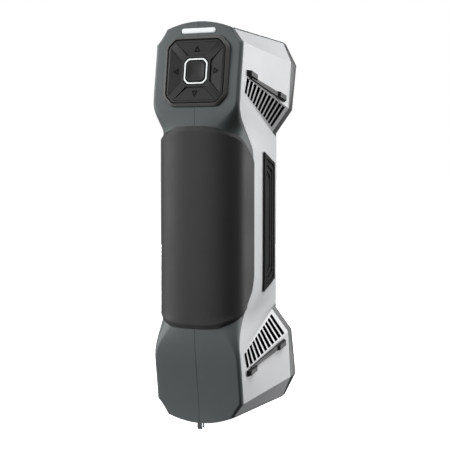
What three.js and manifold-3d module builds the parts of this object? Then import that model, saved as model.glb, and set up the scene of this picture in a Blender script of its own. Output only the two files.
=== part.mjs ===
// Twin-head handheld laser 3D scanner, millimetres.
// +Z runs up the body, -Y is the back that faces the user, +Y is the optics side, +X is the user's right.
// The scanner is the same above and below its middle apart from the keypad, status light and lanyard lug.
import * as THREE from 'three';
import { mergeVertices } from 'three/addons/utils/BufferGeometryUtils.js';
import { ConvexGeometry } from 'three/addons/geometries/ConvexGeometry.js';
import Module from 'manifold-3d';

const wasm = await Module();
wasm.setup();

// ---- driving dimensions -------------------------------------------------------------------------
const GAP = 0.3;                 // clearance between pieces that touch
const TOP = 149;                 // middle to the crown of each head
const LUG_DROP = 4.8;            // lanyard lug below the lower head
const ARCH = 5.6;                // rise of the crown over its two ends

const BACK_Y = -51.2;            // back of the shell at the handle
const BACK_LEAN = 7.6;           // how far the back leans forward at the ends
const LEAN_START = 78;           // height where the lean starts
const HEAD_HALF = 35.5;          // head half-width at its back edge
const HANDLE_HALF = 32;          // shell half-width at the handle
const FLARE_UP = [60, 92];       // heights where the handle widens into the upper head
const FLARE_DOWN = [67, 103];    // and depths where it widens into the lower head
const SWEEP_UP = [50, 88];       // heights where the shell's edge sweeps back from the handle side
const SWEEP_DOWN = [36, 98];     // and the depths of the same sweep below
const HANDLE_CORNER = 18;        // back corner radius at the handle
const CROWN = 0.3;               // rise of the head's back across its width
const CROWN_IN = [70, 95];       // heights where that rise comes in
const CHAMFER_Z = 132.5;         // where the head's upper chamfer starts
const CHAMFER_END = 143.4;       // and where it ends
const CREST_HALF = 27.6;         // half-width above the chamfer
const ROOF_HALF = 29.8;          // half-width of the roof at its front edge
const ROOF_FALL = 4.1;           // and how far the roof falls on the way there
const HANDLE_EDGE_Y = -17.7;     // shell edge at the handle side
const HEAD_EDGE_DEPTH = 2.9;     // depth of that edge in front of the back at the heads
const SHELL_WALL = 2.6;
const LEAST_RADIUS = 0.4;        // of the shell's inside corners
const FLAT_END = 0.3;            // share of a half section taken by the flat of the back
const CORNER_END = 0.85;         // where its corner ends and the side begins
const CORNER_STOPS = [0, FLAT_END / 2, FLAT_END, 0.4375, 0.575, 0.7125, CORNER_END, 1];
const SHELL_HEIGHTS = [0, 20, 40, 50, 56, 62, 67, 72, 77, 82, 88, 95, 104, 114, 124];
const FAR = 200;                 // beyond every piece, for cutting tools

const STATUS_HALF = 13.8;        // half the status light's length
const STATUS_RADIUS = 1.75;
const STATUS_Y = -43.9;
const STATUS_Z = 142.2;
const LUG_HALF = 1.9;            // half the lanyard lug's thickness
const LUG_REAR = -43.6;
const LUG_FRONT = -38.8;
const LUG_ROOT = 13;             // how far the lug reaches up from its lowest point
const LUG_CHAMFER = 1.2;
const LUG_RIM = 1.4;             // material round the lug's slot
const LUG_SLOT_TOP = 4.2;
const INLET_Y = 4;               // round cable inlet in the underside
const INLET_OUT = 8;
const INLET_IN = 5.4;
const INLET_TOP = -134;
const INLET_LOW = -147.4;

const COVER_WALL = 2.4;          // side cover, measured along X
const COVER_PROUD = 0.2;         // the cover's rear edge stands this much outside the shell
const COVER_WAIST = 120;         // height of the row between chamfer and vents
const VENT_REAR_TOP = 110;       // the vent field's rear edge
const VENT_REAR_LOW = 98;
const HANDLE_REAR_TOP = 42;      // where the handle's straight part begins
const HANDLE_BEND = 0.35;        // share of the cover's lower rows that run down the bezel
const HANDLE_ROWS = 8;
const REAR_OF_BEZEL = 42.5;      // front edge of the side covers
const FRONT_Y = 51.75;           // plane of the two head fronts

const GUARD_FACE_X = 38.6;       // the guards' outer faces, which the scanner can lie on
const GUARD_BAR_X = 37;          // outer face of the bar between a guard's two blocks
const GUARD_BASE_X = 33;         // inside the cover, where the guards are cut off
const GUARD_RAMP = 5.4;          // how far the ends of a block spread down to that base
const SLOTS = 11;                // vent slots in each field
const SLOT_FIRST = 0.13;         // places of the first and last slot along the field
const SLOT_LAST = 0.905;
const SLOT_WIDTH = 0.05;
const SLOT_ENDS = [0.05, 0.9];   // reach of the slots down the field
const CREASE_U = 0.28;           // where the handle's side crease runs
const CREASE_RISE = 1;
const CREASE_IN = [0.3, 0.8];    // the rows over which it comes in
const INSERT_RISE = 1.7;         // side inserts over the cover
const GROOVES = 3;
const GROOVE_WIDTH = 2;
const GROOVE_DEPTH = 1;
const GROOVE_REAR = 9;           // Y where the grooves' arms start
const GROOVE_FRONT = 27.4;       // Y of the outermost groove
const GROOVE_HALF = 43.6;        // and half its height
const GROOVE_SPREAD = 4.6;       // how far the arms open towards the rear
const GROOVE_STEP = [5.4, 4.4];  // from one groove to the next, in Y and in Z

const PAD_MIDDLE = -3;           // grip pad, about its own middle height
const PAD_HALF_HEIGHT = 75;
const PAD_FLAT = 6;             // half the straight part of its top edge, measured round the shell
const PAD_SIDE = 54;             // reach of each corner round the shell
const PAD_CORNER = 30;           // height of each corner
const PAD_POWER = 1.75;           // below 2, so the corners are flatter than an ellipse
const PAD_EDGE = 0.97;           // how far round the section the pad may reach
const PAD_BANDS = 22;
const PAD_COLUMNS = 16;
const PAD_PROUD = 1.2;
const PAD_SUNK = 0.6;
const RECESS_MARGIN = 0.8;       // the recess is this much wider than the pad
const RECESS_DEPTH = 1.72;
const RECESS_REACH = 3.6;        // its cutter's reach outside the shell
const EDGE_PER_MM = 0.03;        // section share of one millimetre at the pad's edge

const KEY_TILT = 7.9 * Math.PI / 180;
const KEY_Z = 112;               // middle of the keypad
const KEY_Y = -47.6;
const BEZEL_HALF = 26.3;
const TRAY_HALF = 23.4;
const RING_HALF = 9.9;
const RING_BAND = 1.5;           // width of the light ring round the middle button
const WEB = 4.1;                 // offset of each diagonal web edge from the keypad's diagonal
const KEY_INNER = 11.7;          // inner and outer ends of the direction keys
const KEY_OUTER = 21.6;
const SKIRT_HALF = 24.7;         // the keypad bezel's skirt, let into the shell
const SKIRT_CORNER = 7;
const SKIRT_LOW = -4.6;
const KEY_FLOOR = -2.4;          // the tray's floor, under the keys
const KEY_FACE = 1.3;            // the keys' faces
const KEY_LIFT = 0.9;            // free space under each key
const KEY_INNER_FACE = 0.2;      // faces of the direction keys at their inner ends
const MARK_FACE = 1.1;
const KEY_CENTRE = 16.6;         // from the middle of the pad to each direction key
const DISH_RADIUS = 34;          // of the hollow in the middle button
const DISH_DEPTH = 0.6;
const BOARD_HALF = 20;
const BOARD_TOP = -8;
const BOARD_THICK = 1.6;
const SWITCH_HALF = 3;
const SWITCH_TOP = -4.9;
const PLUNGER_RADIUS = 1.5;
const PLUNGER_TOP = -2.2;

const HEAD_MID = 112.5;          // height of each camera axis
const WINDOW_BACK = 48.6;        // Y of the front window's rear face
const LENS_RADIUS = 11.5;
const LENS_Y = [48.4, 50.4];
const RING_IN = 14.6;            // ring light round each lens
const RING_OUT = 20;
const BLOCK_HALF = 17;           // camera block behind each lens
const BLOCK_Y = [14, 27];
const SINK_HALF = 20;            // heat sink on the camera block, half its width
const SINK_Z = [91, 127];
const SINK_Y = [9, 11.2];
const FINS = 7;
const FIN_PITCH = 5.8;
const FIN_THICK = 3;
const FIN_REAR = 4;
const FAN_RADIUS = 13;
const FAN_HUB = 5;
const FAN_HALF_DEPTH = 5;
const SPOKE_X = [2.6, 4.4];
const SPOKE_HALF = 1.5;
const FAN_Y = -12;
const FAN_Z = 102;
const FAN_BLADES = 7;
const LASER_Z = 24;
const LASER_WINDOW = 8;          // radius of each laser window
const LASER_WINDOW_Y = [42.7, 44.3];
const HANDLE_COVER_HALF = 82;    // half the handle's front cover's height
const HANDLE_COVER_WALL = 2.6;
const SPINE_HALF = 14;           // optical frame
const SPINE_Y = [14, 17];
const SPINE_Z = 92.4;
const RIB_X = 12.5;
const RIB_HALF = 1.5;
const RIB_Y = 8;
const RIB_Z = 86;
const MAIN_BOARD_HALF = [22, 84];

const COLOURS = {
  shell: [0x5a6261, 0.55, 0.1],
  grip: [0x3f3f40, 0.75, 0],
  cover: [0xc6c9cb, 0.4, 0.55],
  trim: [0x4a4b4c, 0.5, 0.1],
  black: [0x1a1b1c, 0.45, 0],
  key: [0x363636, 0.6, 0],
  light: [0xf1f3f3, 0.3, 0],
  glass: [0x10151c, 0.08, 0.1],
  alloy: [0xb2b5b8, 0.35, 0.9],
  board: [0x1f5a35, 0.55, 0.05],
  steel: [0x8c9094, 0.3, 0.95],
};

// ---- scene graph helpers ------------------------------------------------------------------------
const scanner = new THREE.Group();
const body = new THREE.Group();
body.position.z = LUG_DROP / 2;  // puts the origin at the middle of the whole box
scanner.add(body);

function add(name, geometry, colour, parent = body) {
  const [color, roughness, metalness] = COLOURS[colour];
  const mesh = new THREE.Mesh(geometry, new THREE.MeshStandardMaterial({ color, roughness, metalness }));
  mesh.name = name;
  parent.add(mesh);
  return mesh;
}

// ---- solids -------------------------------------------------------------------------------------
const v = (x, y, z) => new THREE.Vector3(x, y, z);
const mix = (a, b, t) => a + (b - a) * t;
const mixPoint = (a, b, t) => a.clone().lerp(b, t);
const steps = (count) => Array.from({ length: count + 1 }, (_, i) => i / count);

function smooth(t) {
  const c = Math.min(1, Math.max(0, t));
  return c * c * (3 - 2 * c);
}

function solid(geometry) {
  const bare = geometry.clone();
  bare.deleteAttribute('normal');
  bare.deleteAttribute('uv');
  const merged = mergeVertices(bare, 1e-4);
  return new wasm.Manifold(new wasm.Mesh({
    numProp: 3,
    vertProperties: new Float32Array(merged.attributes.position.array),
    triVerts: new Uint32Array(merged.index.array),
  }));
}

function geometryOf(manifold) {
  const mesh = manifold.getMesh();
  const geometry = new THREE.BufferGeometry();
  const positions = new THREE.BufferAttribute(new Float32Array(mesh.vertProperties), 3);
  geometry.setAttribute('position', positions);
  geometry.setIndex(new THREE.BufferAttribute(new Uint32Array(mesh.triVerts), 1));
  return geometry;
}

const cut = (geometry, ...tools) =>
  geometryOf(tools.reduce((left, tool) => left.subtract(solid(tool)), solid(geometry)));
const join = (first, ...others) =>
  geometryOf(others.reduce((left, other) => left.add(solid(other)), solid(first)));
const common = (one, other) => geometryOf(solid(one).intersect(solid(other)));

function turnInsideOut(geometry) {
  const index = geometry.index.array;
  for (let k = 0; k < index.length; k += 3) {
    [index[k + 1], index[k + 2]] = [index[k + 2], index[k + 1]];
  }
  return geometry;
}

function mirrored(geometry, sx, sz = 1) {
  const copy = (geometry.index ? geometry : mergeVertices(geometry)).clone().scale(sx, 1, sz);
  return sx * sz < 0 ? turnInsideOut(copy) : copy;
}

// A closed solid between two grids of points.
function thickSheet(outer, inner) {
  const rows = outer.length;
  const cols = outer[0].length;
  const points = [...outer.flat(), ...inner.flat()];
  const faces = [];
  const at = (side, i, j) => (side * rows + i) * cols + j;
  const quad = (a, b, c, d) => faces.push(a, b, c, a, c, d);
  for (let i = 0; i < rows - 1; i += 1) {
    for (let j = 0; j < cols - 1; j += 1) {
      quad(at(0, i, j), at(0, i, j + 1), at(0, i + 1, j + 1), at(0, i + 1, j));
      quad(at(1, i, j), at(1, i + 1, j), at(1, i + 1, j + 1), at(1, i, j + 1));
    }
  }
  for (let i = 0; i < rows - 1; i += 1) {
    quad(at(0, i, 0), at(0, i + 1, 0), at(1, i + 1, 0), at(1, i, 0));
    quad(at(0, i, cols - 1), at(1, i, cols - 1), at(1, i + 1, cols - 1), at(0, i + 1, cols - 1));
  }
  for (let j = 0; j < cols - 1; j += 1) {
    quad(at(0, 0, j), at(1, 0, j), at(1, 0, j + 1), at(0, 0, j + 1));
    quad(at(0, rows - 1, j), at(0, rows - 1, j + 1), at(1, rows - 1, j + 1), at(1, rows - 1, j));
  }
  const geometry = new THREE.BufferGeometry().setFromPoints(points);
  geometry.setIndex(faces);
  return signedVolume(geometry) < 0 ? turnInsideOut(geometry) : geometry;
}

function signedVolume(geometry) {
  const p = geometry.attributes.position;
  const corner = (k) => new THREE.Vector3().fromBufferAttribute(p, geometry.index.getX(k));
  let total = 0;
  for (let k = 0; k < geometry.index.count; k += 3) {
    total += corner(k).dot(corner(k + 1).cross(corner(k + 2)));
  }
  return total / 6;
}

// The largest body of a cut, without any slivers the tools leave beside it.
const mainBody = (geometry) =>
  solid(geometry).decompose().map(geometryOf)
    .reduce((left, right) => (signedVolume(right) > signedVolume(left) ? right : left));

function shapeOf(outline, holes = []) {
  const shape = new THREE.Shape(outline.map(([x, y]) => new THREE.Vector2(x, y)));
  holes.forEach((hole) => shape.holes.push(new THREE.Path(hole.map(([x, y]) => new THREE.Vector2(x, y)))));
  return shape;
}

// A plate with its outline in local X and Y, standing up local Z from `low` to `high`.
function plate(outline, low, high, holes = []) {
  const options = { depth: high - low, bevelEnabled: false };
  return new THREE.ExtrudeGeometry(shapeOf(outline, holes), options).translate(0, 0, low);
}

// The same plate with its outline in X and Z, reaching along Y.
const plateAlongY = (outline, low, high, holes = []) =>
  plate(outline, -high, -low, holes).rotateX(Math.PI / 2);

// And with its outline in Y and Z, reaching along X.
const plateAlongX = (outline, low, high, holes = []) =>
  plate(outline, low, high, holes)
    .applyMatrix4(new THREE.Matrix4().makeBasis(v(0, 1, 0), v(0, 0, 1), v(1, 0, 0)));

const box = (x0, x1, y0, y1, z0, z1) =>
  new THREE.BoxGeometry(x1 - x0, y1 - y0, z1 - z0)
    .translate((x0 + x1) / 2, (y0 + y1) / 2, (z0 + z1) / 2);

const rodAlongY = (radius, y0, y1, x, z, sides = 24) =>
  new THREE.CylinderGeometry(radius, radius, y1 - y0, sides).translate(x, (y0 + y1) / 2, z);

// A ring about an axis along Y.
function ringAlongY(inner, outer, y0, y1, x, z, sides = 24) {
  const profile = [[inner, y0], [outer, y0], [outer, y1], [inner, y1], [inner, y0]];
  return new THREE.LatheGeometry(profile.map(([r, y]) => new THREE.Vector2(r, y)), sides).translate(x, 0, z);
}

function octagon(half, corner) {
  const c = half - corner;
  return [[c, -half], [half, -c], [half, c], [c, half], [-c, half], [-half, c], [-half, -c], [-c, -half]];
}

const capsule = (halfLength, radius, sides = 8) => {
  const end = (sign) => steps(sides).map((t) => {
    const angle = -Math.PI / 2 + Math.PI * t;
    return [sign * (halfLength - radius + radius * Math.cos(angle)), sign * radius * Math.sin(angle)];
  });
  return [...end(1), ...end(-1)];
};

// ---- the outer form -----------------------------------------------------------------------------
const backLine = (z) => BACK_Y + BACK_LEAN * smooth((Math.abs(z) - LEAN_START) / (TOP - LEAN_START));
const crownAt = (z) => CROWN * smooth((Math.abs(z) - CROWN_IN[0]) / (CROWN_IN[1] - CROWN_IN[0]));

// Share of the way from the handle (0) to a head (1) at height z.
function towardsHead(z, up, down) {
  const [start, end] = z > 0 ? up : down;
  return smooth((Math.abs(z) - start) / (end - start));
}

const halfWidth = (z) => mix(HANDLE_HALF, HEAD_HALF, towardsHead(z, FLARE_UP, FLARE_DOWN));

// Y of the shell's side edge, where the side cover begins.
const edgeY = (z) =>
  mix(HANDLE_EDGE_Y, backLine(z) + HEAD_EDGE_DEPTH, towardsHead(z, SWEEP_UP, SWEEP_DOWN));

// A point of half a section of the shell, from the middle (s = 0) round the corner to the edge (s = 1).
function sectionPoint(s, z, width, inset) {
  const back = backLine(z) + inset;
  const crown = crownAt(z);
  const edge = edgeY(z);
  const corner = Math.min(HANDLE_CORNER, edge - backLine(z) - crown);
  const radius = Math.max(corner - inset, LEAST_RADIUS);
  const centreX = width - inset - radius;
  const centreY = back + crown + radius;
  if (s < FLAT_END) {
    const x = (centreX * s) / FLAT_END;
    return v(x, back + crown * (x / centreX) ** 2, z);
  }
  if (s < CORNER_END) {
    const angle = (Math.PI / 2) * ((s - FLAT_END) / (CORNER_END - FLAT_END));
    return v(centreX + radius * Math.sin(angle), centreY - radius * Math.cos(angle), z);
  }
  const end = Math.max(edge, centreY + 0.1);
  return v(width - inset, mix(centreY, end, (s - CORNER_END) / (1 - CORNER_END)), z);
}

// One row of the back, from the middle out to the side edge.
function backRow(z, inset) {
  return CORNER_STOPS.map((s) => sectionPoint(s, z, halfWidth(z), inset));
}

// The rows above the chamfer narrow and arch up to the crown.
function crestRow(q, inset) {
  const width = mix(HEAD_HALF, CREST_HALF, q) - inset;
  return CORNER_STOPS.map((s) => {
    const p = sectionPoint(s, CHAMFER_Z, width + inset, inset);
    const top = TOP - inset - ARCH * (p.x / CREST_HALF) ** 2;
    p.z = mix(CHAMFER_Z, top, q);
    p.y += backLine(p.z) - backLine(CHAMFER_Z);
    return p;
  });
}

// The crown runs forward from the back to the bezel.
function crownRow(r, inset) {
  const start = crestRow(1, inset);
  const end = ROOF_HALF - inset;
  return start.map((p) => {
    const f = p.x / (CREST_HALF - inset);
    return v(mix(p.x, f * end, r), mix(p.y, REAR_OF_BEZEL, r), p.z - ROOF_FALL * r);
  });
}

function shellRows(inset) {
  const below = SHELL_HEIGHTS.slice(1).reverse().map((z) => -z);
  const middle = [...below, ...SHELL_HEIGHTS].map((z) => backRow(z, inset));
  const crest = [0, 0.5, 1].map((q) => crestRow(q, inset));
  const crown = [0.08, 0.5, 1].map((r) => crownRow(r, inset));
  const over = [...crest, ...crown];
  const under = over.map((row) => row.map((p) => v(p.x, p.y, -p.z))).reverse();
  return [...under, ...middle, ...over];
}

// ---- back shell ---------------------------------------------------------------------------------
// Section parameter of a point a given length round the shell from its middle, at the handle.
function alongSection(length) {
  const flat = HANDLE_HALF - HANDLE_CORNER;
  const arc = (Math.PI / 2) * HANDLE_CORNER;
  const side = HANDLE_EDGE_Y - BACK_Y - HANDLE_CORNER;
  if (length < flat) {
    return (FLAT_END * length) / flat;
  }
  if (length < flat + arc) {
    return mix(FLAT_END, CORNER_END, (length - flat) / arc);
  }
  return mix(CORNER_END, 1, (length - flat - arc) / side);
}

// The pad's outline wrapped on the shell at an offset from it, grown by a margin.
function padGrid(offset, grow) {
  return steps(PAD_BANDS).map((t) => {
    const rise = (PAD_HALF_HEIGHT + grow) * Math.sin(Math.PI * (t - 0.5));
    const z = PAD_MIDDLE + rise;
    const beyond = Math.max(0, Math.abs(rise) - PAD_HALF_HEIGHT + PAD_CORNER);
    const intoCorner = Math.min(1, beyond / (PAD_CORNER + grow));
    const wide = (1 - intoCorner ** PAD_POWER) ** (1 / PAD_POWER);
    const furthest = PAD_EDGE + EDGE_PER_MM * grow;
    const reach = Math.min(furthest, alongSection(PAD_FLAT + PAD_SIDE * wide + grow));
    return steps(PAD_COLUMNS).map((k) => {
      const s = (2 * k - 1) * reach;
      const p = sectionPoint(Math.abs(s), z, halfWidth(z) + offset, -offset);
      return v(Math.sign(s) * p.x, p.y, p.z);
    });
  });
}

const padSolid = (proud, sunk, grow) => thickSheet(padGrid(proud, grow), padGrid(-sunk, grow));

// Places geometry drawn in the keypad's own plane: X across, Y up its face, Z out of it.
function onKeypad(geometry) {
  return geometry.clone().rotateX(Math.PI / 2 - KEY_TILT).translate(0, KEY_Y, KEY_Z);
}

// And the same for the status light, which leans a third as far.
function onStatus(geometry) {
  return geometry.clone().rotateX(Math.PI / 2 - KEY_TILT / 3).translate(0, STATUS_Y, STATUS_Z);
}

function shellHalf(side) {
  const sheet = thickSheet(shellRows(0), shellRows(SHELL_WALL));
  const seam = box(-1, GAP / 2, -FAR, FAR, -FAR, FAR);
  const recess = padSolid(RECESS_REACH, RECESS_DEPTH, RECESS_MARGIN);
  const keypadHole = onKeypad(plate(octagon(SKIRT_HALF + GAP, SKIRT_CORNER), -20, 20));
  const lightHole = onStatus(plate(capsule(STATUS_HALF + GAP, STATUS_RADIUS + GAP), -4, 4));
  const lugHole = box(-LUG_HALF - GAP, LUG_HALF + GAP, LUG_REAR - GAP, LUG_FRONT + GAP, -FAR, -140);
  const inletHole = new THREE.CylinderGeometry(INLET_OUT + GAP, INLET_OUT + GAP, 40, 24)
    .rotateX(Math.PI / 2)
    .translate(0, INLET_Y, -TOP);
  return mirrored(cut(sheet, seam, recess, keypadHole, lightHole, lugHole, inletHole), side);
}

add('back_shell_right', shellHalf(1), 'shell');
add('back_shell_left', shellHalf(-1), 'shell');
add('grip_pad', padSolid(PAD_PROUD, PAD_SUNK, 0), 'grip');

// ---- form of the head fronts -----------------------------------------------------------------------
// The bezel's outline, right half, from the crown down: rear and front point of each corner.
const BEZEL_CORNERS = [
  [v(0, 42.8, 144.7), v(0, FRONT_Y, 143)],
  [v(15, 42.8, 143.4), v(14.2, FRONT_Y, 141.8)],
  [v(29.8, 42.8, 139.3), v(28.3, FRONT_Y, 138.4)],
  [v(37, 42.8, 123.2), v(37.25, FRONT_Y, 121.3)],
  [v(35, 42.8, 87.6), v(33.6, FRONT_Y, 86.4)],
  [v(25.2, 33, 68.7), v(24.4, 38.2, 66)],
];

function bezelHull(grow) {
  const middle = v(0, 44, 106);
  const both = BEZEL_CORNERS.flat().flatMap((p) => [p, v(-p.x, p.y, p.z)]);
  const grown = (p) => p.clone().addScaledVector(p.clone().sub(middle).normalize(), grow);
  return new ConvexGeometry(both.map(grown));
}

// ---- side covers --------------------------------------------------------------------------------
// Corners of the right cover's upper half; each pair is its rear and front end.
const COVER_CREST = [v(27.6, -41.7, CHAMFER_END), v(29.8, REAR_OF_BEZEL, 139.3)];
const COVER_SHOULDER = v(36.9, REAR_OF_BEZEL, 123.3);
const COVER_VENT_TOP = v(34.8, REAR_OF_BEZEL, 87.6);
const COVER_VENT_LOW = v(25.2, 32.6, 69);
const COVER_HANDLE_TOP = v(25.6, 39.7, 65.2);

// Where a row of the cover meets the shell; half is 1 above the middle and -1 below it.
const rearPoint = (z, half) => v(halfWidth(half * z) + COVER_PROUD, edgeY(half * z) + GAP, z);

// A row of points from rear to front, raised towards the crease between them.
function rowBetween(rear, front, rise, stops) {
  return stops.map((u) => {
    const p = mixPoint(rear, front, u);
    const tent = u < CREASE_U ? u / CREASE_U : (1 - u) / (1 - CREASE_U);
    p.x += CREASE_RISE * rise * tent;
    return p;
  });
}

// The cover's front edge, down the bezel's underside and then down the handle.
function handleFront(t) {
  if (t < HANDLE_BEND) {
    return mixPoint(COVER_VENT_LOW, COVER_HANDLE_TOP, t / HANDLE_BEND);
  }
  const p = COVER_HANDLE_TOP.clone();
  p.z = mix(COVER_HANDLE_TOP.z, HANDLE_REAR_TOP, (t - HANDLE_BEND) / (1 - HANDLE_BEND));
  return p;
}

// Rows of the cover's upper half, from the crest down to the handle.
function coverRows(stops, half) {
  const waistFront = mixPoint(COVER_SHOULDER, COVER_VENT_TOP, 0.5);
  const head = [
    rowBetween(COVER_CREST[0], COVER_CREST[1], 0, stops),
    rowBetween(rearPoint(CHAMFER_Z, half), COVER_SHOULDER, 0, stops),
    rowBetween(rearPoint(COVER_WAIST, half), waistFront, 0, stops),
    rowBetween(rearPoint(VENT_REAR_TOP, half), COVER_VENT_TOP, 0, stops),
  ];
  const handle = steps(HANDLE_ROWS).map((t) => {
    const rear = rearPoint(mix(VENT_REAR_LOW, HANDLE_REAR_TOP, t), half);
    const rise = smooth((t - CREASE_IN[0]) / (CREASE_IN[1] - CREASE_IN[0]));
    return rowBetween(rear, handleFront(t), rise, stops);
  });
  return [...head, ...handle];
}

const COVER_STOPS = [0, CREASE_U / 2, CREASE_U, 0.52, 0.76, 1];

// The whole cover's rows, moved outwards along X.
function coverGrid(offset) {
  const upper = coverRows(COVER_STOPS, 1);
  const lower = coverRows(COVER_STOPS, -1).map((row) => row.map((p) => v(p.x, p.y, -p.z))).reverse();
  return [...upper, ...lower].map((row) => row.map((p) => v(p.x + offset, p.y, p.z)));
}

// A slot cutter that follows the twisted vent field between its upper and lower edges.
function slotCutter(index) {
  const middle = mix(SLOT_FIRST, SLOT_LAST, index / (SLOTS - 1));
  const stops = [middle - SLOT_WIDTH / 2, middle + SLOT_WIDTH / 2];
  const top = rowBetween(rearPoint(VENT_REAR_TOP, 1), COVER_VENT_TOP, 0, stops);
  const low = rowBetween(rearPoint(VENT_REAR_LOW, 1), COVER_VENT_LOW, 0, stops);
  const field = SLOT_ENDS.map((t) => stops.map((_, k) => mixPoint(top[k], low[k], t)));
  const moved = (dx) => field.map((row) => row.map((p) => v(p.x + dx, p.y, p.z)));
  return thickSheet(moved(6), moved(-6));
}

const slotCutters = [...Array(SLOTS).keys()].map(slotCutter);
const coverSheet = thickSheet(coverGrid(0), coverGrid(-COVER_WALL));
const shellSpace = thickSheet(shellRows(-GAP), shellRows(SHELL_WALL + GAP));
const shellTools = [[0, 0, 0], [0, GAP, 0], [0, 0, GAP], [0, 0, -GAP]]
  .map((move) => shellSpace.clone().translate(...move));
const coverRight = mainBody(cut(
  coverSheet, ...shellTools, bezelHull(GAP), mirrored(bezelHull(GAP), 1, -1),
  ...slotCutters, ...slotCutters.map((tool) => mirrored(tool, 1, -1)),
));
add('side_cover_right', coverRight, 'cover');
add('side_cover_left', mirrored(coverRight, -1), 'cover');

// Everything behind the cover's outer surface, grown by the gap.
const behindCover = thickSheet(coverGrid(GAP), coverGrid(-14));

// ---- guards and inserts on the covers -------------------------------------------------------------
// Two wedge blocks joined by a lower bar. Each piece has a face X, the Y, underside and top of its rear
// and front ends above the guard's lower edge, and the spread of its ends towards the cover.
const GUARD_PIECES = [
  { faceX: GUARD_FACE_X, ends: [[-33.9, 1.6, 5.1], [-23.4, 1.6, 5.1]], ramp: GUARD_RAMP },
  { faceX: GUARD_BAR_X, ends: [[-30, 0.2, 2.3], [26, 0.2, 4.2]], ramp: 0 },
  { faceX: GUARD_FACE_X, ends: [[18.7, 0.5, 4.3], [29.7, 0.5, 4.3]], ramp: GUARD_RAMP },
];

const guardEdge = (y) => 99.4 - 0.23 * y;

function guardPiece({ faceX, ends, ramp }) {
  const corners = ends.flatMap(([y, low, top], k) => {
    const baseY = y + (k === 0 ? -ramp : ramp);
    return [
      v(faceX, y, guardEdge(y) + low), v(faceX, y, guardEdge(y) + top),
      v(GUARD_BASE_X, baseY, guardEdge(baseY)), v(GUARD_BASE_X, baseY, guardEdge(baseY) + top),
    ];
  });
  return new ConvexGeometry(corners);
}

const ventGuard = () => cut(join(...GUARD_PIECES.map(guardPiece)), behindCover);

for (const [side, sx] of [['right', 1], ['left', -1]]) {
  add(`vent_guard_upper_${side}`, mirrored(ventGuard(), sx), 'black');
  add(`vent_guard_lower_${side}`, mirrored(ventGuard(), sx, -1), 'black');
}

// The insert is a raised strip with nested C-shaped grooves open to the rear.
const INSERT_OUTLINE = [[3.2, -53.4], [30.8, -45], [30.8, 45], [3.2, 53.4]];

function insertGroove(index) {
  const front = GROOVE_FRONT - index * GROOVE_STEP[0];
  const half = GROOVE_HALF - index * GROOVE_STEP[1];
  const inner = half - GROOVE_WIDTH;
  const outline = [
    [GROOVE_REAR, -half - GROOVE_SPREAD], [front, -half], [front, half], [GROOVE_REAR, half + GROOVE_SPREAD],
    [GROOVE_REAR, inner + GROOVE_SPREAD], [front - GROOVE_WIDTH, inner],
    [front - GROOVE_WIDTH, -inner], [GROOVE_REAR, -inner - GROOVE_SPREAD],
  ];
  return plateAlongX(outline, 20, 60);
}

function sideInsert() {
  const raised = thickSheet(coverGrid(INSERT_RISE), coverGrid(GAP));
  const aboveFloor = thickSheet(coverGrid(9), coverGrid(INSERT_RISE - GROOVE_DEPTH));
  const grooves = [...Array(GROOVES).keys()].map((k) => common(insertGroove(k), aboveFloor));
  return cut(common(plateAlongX(INSERT_OUTLINE, 20, 60), raised), ...grooves);
}

add('side_insert_right', sideInsert(), 'black');
add('side_insert_left', mirrored(sideInsert(), -1), 'black');

// ---- head fronts ----------------------------------------------------------------------------------
const WINDOW_OUTLINE = [[31, 89.4], [34, 120.6], [26, 135.6], [-26, 135.6], [-34, 120.6], [-31, 89.4]];

// An outline in X and Z scaled about the camera axis.
const scaled = (outline, amount) =>
  outline.map(([x, z]) => [x * amount, (z - HEAD_MID) * amount + HEAD_MID]);

function frontBezel() {
  const seat = plateAlongY(scaled(WINDOW_OUTLINE, 1.01), WINDOW_BACK - GAP, 60);
  const bore = plateAlongY(scaled(WINDOW_OUTLINE, 0.93), 20, 60);
  return cut(bezelHull(0), seat, bore, box(-60, 60, 20, REAR_OF_BEZEL + GAP, 87.4, 160));
}

function circle(radius, x, z, sides = 32) {
  return [...Array(sides).keys()].map((k) => {
    const angle = (2 * Math.PI * k) / sides;
    return [x + radius * Math.cos(angle), z + radius * Math.sin(angle)];
  });
}

function windowPanel() {
  return plateAlongY(WINDOW_OUTLINE, WINDOW_BACK, FRONT_Y - 0.8, [circle(RING_OUT + GAP, 0, HEAD_MID, 24)]);
}

// Optics of one head, drawn for the upper head and mirrored for the lower.
function headOptics() {
  const blockZ = [HEAD_MID - BLOCK_HALF, HEAD_MID + BLOCK_HALF];
  const sensorBlock = box(-BLOCK_HALF, BLOCK_HALF, ...BLOCK_Y, ...blockZ);
  const barrel = cut(
    join(
      rodAlongY(LENS_RADIUS - 2, BLOCK_Y[1] + 0.4, 40, 0, HEAD_MID),
      rodAlongY(RING_IN - GAP, 39.5, FRONT_Y - 0.5, 0, HEAD_MID),
    ),
    rodAlongY(LENS_RADIUS + GAP, 48, 60, 0, HEAD_MID),
  );
  return {
    front_window: [windowPanel(), 'black'],
    front_bezel: [frontBezel(), 'trim'],
    camera_block: [sensorBlock, 'alloy'],
    lens_barrel: [barrel, 'black'],
    lens_glass: [rodAlongY(LENS_RADIUS, ...LENS_Y, 0, HEAD_MID), 'glass'],
    ring_light_lens: [ringAlongY(RING_IN, RING_OUT, 47, FRONT_Y - 0.9, 0, HEAD_MID), 'light'],
    ring_light_board: [ringAlongY(RING_IN, RING_OUT, 44.6, 46.2, 0, HEAD_MID), 'board'],
    heat_sink: [heatSink(), 'alloy'],
    fan_frame: [fanFrame(), 'black'],
  };
}

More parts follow.
